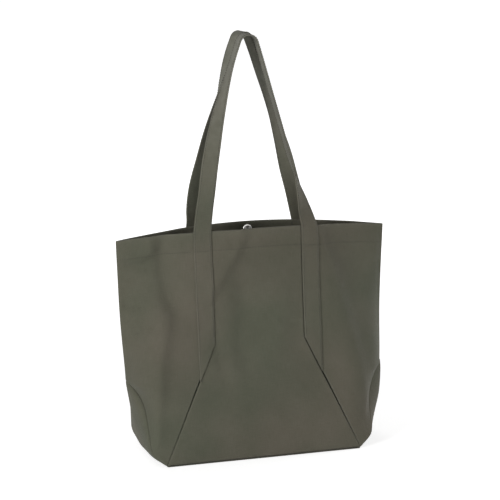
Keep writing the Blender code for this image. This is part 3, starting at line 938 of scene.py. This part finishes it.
def turned_part(name, profile, seat, face, closed):
    """A profile of radius and height spun about Y, standing on its seat."""
    bm = bmesh.new()
    verts = [bm.verts.new((radius, face * height, 0)) for radius, height in metres(profile)]
    edges = [bm.edges.new(pair) for pair in zip(verts, verts[1:])]
    if closed:
        edges.append(bm.edges.new((verts[-1], verts[0])))
    bmesh.ops.spin(bm, geom=verts + edges, cent=(0, 0, 0), axis=(0, 1, 0), angle=2 * math.pi,
                   steps=RING_STEPS, use_merge=True)
    bmesh.ops.remove_doubles(bm, verts=bm.verts, dist=CUT_REACH)
    bmesh.ops.translate(bm, verts=bm.verts, vec=(0, seat, STUD_HEIGHT))
    bmesh.ops.recalc_face_normals(bm, faces=bm.faces)
    return new_piece(name, bm)


ball = turned_part("stud_ball_cap", BALL_PROFILE, ball_low.y, 1, False)
ring = turned_part("stud_socket_ring", RING_PROFILE, ring_high.y, -1, True)
spring_bm = bmesh.new()
for half in (-1, 1):
    spot = Matrix.Translation((half * SPRING_OFFSET, ring_low.y + SPRING_SEAT, STUD_HEIGHT))
    bmesh.ops.create_cone(spring_bm, cap_ends=True, segments=SPRING_SIDES, radius1=SPRING_RADIUS,
                          radius2=SPRING_RADIUS, depth=SPRING_LENGTH, matrix=spot)
springs = new_piece("stud_socket_springs", spring_bm)
print("stud height:", round(STUD_HEIGHT, 4))

# %% [markdown]
# Canvas is a plain weave: warp and weft threads go over and under each other. The weave is drawn
# on the threads map, as a chequer that picks which thread lies on top and a rounded profile for
# each. Dyed cotton also has flecks of lighter and darker yarn, and fades where it is rubbed. The
# handles above the rim are lightened the same way, as painted light.

# %% Shader helper
class Nodes:
    """Adds shader nodes to a material or world and links them."""

    def __init__(self, owner):
        owner.use_nodes = True
        self.tree = owner.node_tree

    def feed(self, node, inputs):
        """Gives a node its inputs, each a value or another node's socket."""
        for key, value in dict(inputs).items():
            if isinstance(value, bpy.types.NodeSocket):
                self.tree.links.new(value, node.inputs[key])
            else:
                node.inputs[key].default_value = value

    def surface(self, inputs):
        """Gives the surface shader its inputs."""
        self.feed(self.tree.nodes["Principled BSDF"], inputs)

    def add(self, kind, inputs=(), **settings):
        """A new node with its settings and inputs."""
        node = self.tree.nodes.new("ShaderNode" + kind)
        for key, value in settings.items():
            setattr(node, key, value)
        self.feed(node, inputs)
        return node

    def place(self):
        """Where a point lies, in metres."""
        return self.add("TexCoord").outputs["Object"]

    def math(self, operation, first, second=0.0):
        """One sum on numbers or sockets."""
        return self.add("Math", {0: first, 1: second}, operation=operation).outputs[0]

    def blend(self, sockets, weights):
        """A weighted sum of sockets."""
        total = 0.0
        for socket, weight in zip(sockets, weights):
            total = self.math("ADD", total, self.math("MULTIPLY", socket, weight))
        return total

    def noise(self, place, scale, detail):
        """A noise field."""
        return self.add("TexNoise", {"Vector": place, "Scale": scale, "Detail": detail}).outputs["Fac"]

    def spread(self, value, low, high, start=0.0, stop=1.0):
        """From low to high, as a value goes from start to stop."""
        limits = {"Value": value, "From Min": start, "From Max": stop, "To Min": low, "To Max": high}
        return self.add("MapRange", limits).outputs["Result"]

    def ramp(self, value, dark, light, low=0.0, high=1.0):
        """From a dark to a light colour, as a value goes from low to high."""
        node = self.add("ValToRGB", {"Fac": value})
        for element, position, colour in zip(node.color_ramp.elements, (low, high), (dark, light)):
            element.position = position
            element.color = (*colour, 1)
        return node.outputs["Color"]

    def mix(self, share, first, second, mode="MIX"):
        """Two colours, mixed by a share."""
        return self.add("Mix", {0: share, 6: first, 7: second}, data_type="RGBA", blend_type=mode).outputs[2]


print("shader helper ready")

# %% Woven cloth
THREAD_PITCH = 0.0007
WARP_FLECK = 0.015
WEFT_FLECK = 0.012
PATCH_SCALE = 14.0
CRUMPLE_SCALE = 85.0
DRIFT_SCALE = 7.0
DRIFT_RANGE = (0.35, 0.65)
COOL_DYE = (0.95, 1.00, 0.92, 1)
WARM_DYE = (1.06, 0.99, 0.96, 1)
TONE_SHARES = (0.3, 0.52, 0.2)
TONE_RANGE = (0.37, 0.93)
# Share of the lightening, both wear and painted light, at full strength.
LIGHTENING_SHARE = 0.9
ROUGHNESS_RANGE = (0.84, 0.95)
RELIEF_SHARES = (0.2, 0.9, 0.6)


def weave_height(nodes, threads):
    """Height of a plain weave, from 0 between the threads to 1 on their tops."""
    parts = nodes.add("SeparateXYZ", {0: threads})
    turns = [nodes.math("MULTIPLY", parts.outputs[axis], math.pi / THREAD_PITCH) for axis in (0, 1)]
    tops = [nodes.math("ABSOLUTE", nodes.math("SINE", turn)) for turn in turns]
    pick = nodes.add("TexChecker", {"Vector": threads, "Scale": 1 / THREAD_PITCH}).outputs["Fac"]
    warp = nodes.math("MULTIPLY", tops[0], pick)
    weft = nodes.math("MULTIPLY", tops[1], nodes.math("SUBTRACT", 1.0, pick))
    return nodes.math("ADD", warp, weft)


def yarn_noise(nodes, threads, across, along):
    """Noise drawn out along the yarns of one direction, by its two sizes."""
    stretched = nodes.add("Mapping", {"Vector": threads, "Scale": (1 / across, 1 / along, 1)})
    return nodes.noise(stretched.outputs[0], 1.0, detail=2.0)


def canvas_material(name, dark, light, lightened):
    """Dyed cotton canvas with its weave, flecks and patches, lightened by wear and by painted light."""
    material = bpy.data.materials.new(name)
    nodes = Nodes(material)
    threads = nodes.add("UVMap", uv_map=THREADS).outputs["UV"]
    place = nodes.place()
    weave = weave_height(nodes, threads)
    flecks = nodes.math("ADD", yarn_noise(nodes, threads, WEFT_FLECK, THREAD_PITCH),
                        yarn_noise(nodes, threads, THREAD_PITCH, WARP_FLECK))
    patches = nodes.noise(place, PATCH_SCALE, detail=5.0)
    crumple = nodes.noise(place, CRUMPLE_SCALE, detail=3.0)
    drift = nodes.spread(nodes.noise(place, DRIFT_SCALE, detail=2.0), 0.0, 1.0, *DRIFT_RANGE)
    tone = nodes.blend((flecks, patches, weave), TONE_SHARES)
    dyed = nodes.mix(1.0, nodes.ramp(tone, dark, light, *TONE_RANGE),
                     nodes.mix(drift, COOL_DYE, WARM_DYE), "MULTIPLY")
    # Lightening: wear at seams, edges and the rim, and painted light on the handles above the rim.
    rubbed = nodes.add("Attribute", attribute_name=WEAR_AND_PAINTED_LIGHT).outputs["Fac"]
    lightening = nodes.math("MULTIPLY", nodes.math("MULTIPLY", rubbed, crumple), LIGHTENING_SHARE)
    relief = nodes.blend((flecks, crumple, weave), RELIEF_SHARES)
    bump = nodes.add("Bump", {"Height": relief, "Strength": 0.55, "Distance": 0.00035})
    nodes.surface({"Base Color": nodes.mix(lightening, dyed, (*lightened, 1)),
                   "Roughness": nodes.spread(patches, *ROUGHNESS_RANGE),
                   "Normal": bump.outputs[0], "Specular IOR Level": 0.22,
                   "Sheen Weight": 0.1, "Sheen Roughness": 0.5})
    return material


canvas = canvas_material("olive_canvas_cloth", dark=(0.072, 0.071, 0.052), light=(0.132, 0.13, 0.103),
                         lightened=(0.172, 0.169, 0.136))
# The strap's lightened colour is paler than the canvas's: wear at its edges, painted light on the handles
# above the rim.
webbing = canvas_material("olive_strap_cloth", dark=(0.073, 0.072, 0.054), light=(0.133, 0.131, 0.104),
                          lightened=(0.25, 0.247, 0.208))
print("cloth materials:", canvas.name, webbing.name)

# %% Thread and metal
STRAND_SCALE = 1800.0
# The thread's colour, darker than the canvas, is partly painted shade: it makes the dark line along a
# strap's edges.
THREAD_DARK = (0.034, 0.033, 0.024)
THREAD_LIGHT = (0.088, 0.084, 0.064)
SCUFF_SCALE = 900.0
NICKEL_ROUGHNESS = (0.3, 0.46)
NICKEL_DARK = (0.8, 0.79, 0.77)
NICKEL_LIGHT = (0.92, 0.91, 0.89)

thread_material = bpy.data.materials.new("olive_thread")
nodes = Nodes(thread_material)
strands = nodes.noise(nodes.place(), STRAND_SCALE, detail=2.0)
nodes.surface({"Base Color": nodes.ramp(strands, THREAD_DARK, THREAD_LIGHT), "Roughness": 0.7})

nickel = bpy.data.materials.new("brushed_nickel")
nodes = Nodes(nickel)
scuffs = nodes.noise(nodes.place(), SCUFF_SCALE, detail=4.0)
bump = nodes.add("Bump", {"Height": scuffs, "Strength": 0.12, "Distance": 0.00005})
nodes.surface({"Base Color": nodes.ramp(scuffs, NICKEL_DARK, NICKEL_LIGHT), "Metallic": 1.0,
               "Roughness": nodes.spread(scuffs, *NICKEL_ROUGHNESS), "Normal": bump.outputs[0]})
print("other materials:", thread_material.name, nickel.name)

# %% [markdown]
# The camera stands in front of the bag and a little to its left, above the rim, three metres away
# with a long lens. The floor is one pale sheet, lifted to white for the camera's eye only, so
# that it still takes the bag's shadow. The light is soft: a large panel at the left, weaker ones
# at the right, in front and behind, and a room.

# %% Camera
VIEW_DISTANCE = 3.0
VIEW_YAW = math.radians(16.65)
VIEW_RISE = math.radians(13.54)
VIEW_FOCUS = Vector((0.0054, 0.0271, 0.299))
VIEW_END = 30
LENS = 142.1


def set_up(name, data, place, direction):
    """A camera or a lamp at a place, facing along a direction."""
    holder = bpy.data.objects.new(name, data)
    holder.location = place
    holder.rotation_mode = "QUATERNION"
    holder.rotation_quaternion = direction.to_track_quat("-Z", "Y")
    bpy.context.scene.collection.objects.link(holder)
    return holder


back = Vector((-math.sin(VIEW_YAW) * math.cos(VIEW_RISE), -math.cos(VIEW_YAW) * math.cos(VIEW_RISE),
               math.sin(VIEW_RISE)))
camera = set_up("Camera", bpy.data.cameras.new("Camera"), VIEW_FOCUS + back * VIEW_DISTANCE, -back)
camera.data.lens = LENS
camera.data.clip_end = VIEW_END
bpy.context.scene.camera = camera
print("camera at", [round(value, 3) for value in camera.location])

# %% Floor and world
WHITE = (1, 1, 1, 1)
FLOOR_SIZE = 16.0
FLOOR_COLOUR = (0.8, 0.8, 0.8, 1)
FLOOR_LIFT = 0.68
FAR_LIFT = 0.9
NEAR, FAR = 0.35, 1.5
ROOM_STRENGTH = 0.19


def seen_directly(nodes):
    """A factor that is 1 where the camera, a gloss or a clear ray looks at it."""
    path = nodes.add("LightPath")
    direct = nodes.math("MAXIMUM", path.outputs["Is Camera Ray"], path.outputs["Is Glossy Ray"])
    return nodes.math("MAXIMUM", direct, path.outputs["Is Transmission Ray"])


floor_bm = bmesh.new()
bmesh.ops.create_grid(floor_bm, x_segments=1, y_segments=1, size=FLOOR_SIZE / 2)
floor = new_piece("floor", floor_bm)
floor_material = bpy.data.materials.new("pale_floor")
nodes = Nodes(floor_material)
distance = nodes.add("VectorMath", {0: nodes.place()}, operation="LENGTH").outputs["Value"]
lift = nodes.spread(distance, FLOOR_LIFT, FAR_LIFT, NEAR, FAR)
glow = nodes.math("MULTIPLY", seen_directly(nodes), lift)
nodes.surface({"Base Color": FLOOR_COLOUR, "Roughness": 0.9, "Specular IOR Level": 0.1,
               "Emission Color": WHITE, "Emission Strength": glow})
floor.data.materials.append(floor_material)

world = bpy.data.worlds.new("soft_room")
nodes = Nodes(world)
room = nodes.math("MULTIPLY", seen_directly(nodes), 1 - ROOM_STRENGTH)
glow = nodes.math("ADD", room, ROOM_STRENGTH)
nodes.feed(nodes.tree.nodes["Background"], {"Color": WHITE, "Strength": glow})
bpy.context.scene.world = world
bpy.context.scene.view_settings.view_transform = "Standard"
print("floor and room in place")

# %% Lamps
# Each lamp has its width and height, its power in watts, its place, and where it points.
LAMPS = {
    "key": ((0.9, 0.9), 48, (-2.6, -1.5, 1.1), (0, 0, 0.3)),
    "fill": ((1.4, 1.0), 38, (0.1, -3.0, 0.2), (0, 0, 0.15)),
    "side": ((0.9, 0.9), 26, (2.7, 0.6, 0.8), (0, 0, 0.3)),
    "back": ((1.2, 1.2), 20, (-0.8, 2.8, 1.2), (0, 0, 0.3)),
}
for name, (size, power, place, aim) in LAMPS.items():
    lamp = bpy.data.lights.new(name, "AREA")
    lamp.shape = "RECTANGLE"
    lamp.size, lamp.size_y = size
    lamp.energy = power
    set_up(name, lamp, place, Vector(aim) - Vector(place))
print("lamps:", ", ".join(LAMPS))

# %% [markdown]
# Side panels, gussets and the base never move: they are handed to the bag's body, with the
# stitches of the hem outside the centre panels. The press stud's parts are handed to the bodies of
# the two mouths. The halves of the centre panels, the straps and their stitches keep their places,
# baked into their meshes.


def dress(piece, material):
    """Gives a piece its material."""
    piece.data.materials.append(material)


def declare(piece, rests_on, cut):
    """Takes what a piece rests on as a list, and does nothing else."""
    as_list(rests_on)


def bend_to_middle(piece, side, end):
    """Bakes a piece's place into its mesh."""
    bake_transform(piece)


def bend_over_rim(piece, side):
    """Bakes the place of a strap, or of what is sewn to it, into its mesh."""
    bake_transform(piece)


# %% Pieces that stay still
for piece in (*side_panels, *gussets.values(), base):
    dress(piece, canvas)
    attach(piece, "bag")
    held, rests_on = ("laid", []) if piece is base else ("stretched", [base])
    declare(piece, rests_on, cut_size(piece))
for piece in side_panels:
    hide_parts(piece.name + "_panel")
for end, piece in gussets.items():
    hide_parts(END_NAMES[end] + "_gusset")
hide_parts("base_panel")
for piece in still_hem_lines:
    dress(piece, thread_material)
    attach(piece, "bag")
print("still pieces:", len(side_panels) + len(gussets) + 1 + len(still_hem_lines))

# %% Centre panels' halves, straps and their stitches
for side, halves in panel_halves.items():
    for end, piece in halves.items():
        dress(piece, canvas)
        bend_to_middle(piece, side, end)
        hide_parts(SIDE_NAMES[side] + "_centre_panel")
        declare(piece, [base], (centre_cut[0] / 2, centre_cut[1], centre_cut[2] / 2))
for side, piece in straps.items():
    name = SIDE_NAMES[side]
    dress(piece, webbing)
    bend_over_rim(piece, side)
    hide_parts(name + "_handle_loop", name + "_left_strap_leg", name + "_right_strap_leg")
    declare(piece, [name + "_left_side", name + "_right_side"], cut_size(piece))
for (side, end), piece in hem_lines.items():
    dress(piece, thread_material)
    bend_to_middle(piece, side, end)
for side, piece in strap_lines.items():
    dress(piece, thread_material)
    bend_over_rim(piece, side)
print("bending pieces:", len(PLACES) + len(hem_lines) + len(straps) + len(strap_lines))

# %% Press stud's bodies and metal
for piece in (ball, ring, springs):
    dress(piece, nickel)
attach(ball, "front_mouth")
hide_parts("press_stud_ball")
for piece in (ring, springs):
    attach(piece, "back_mouth")
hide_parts("press_stud_socket")
for node in ("press_stud_ball_post", "press_stud_socket_post"):
    for slot in bpy.data.objects[node].material_slots:
        slot.material = nickel
print("press stud:", ball.name, ring.name, springs.name)
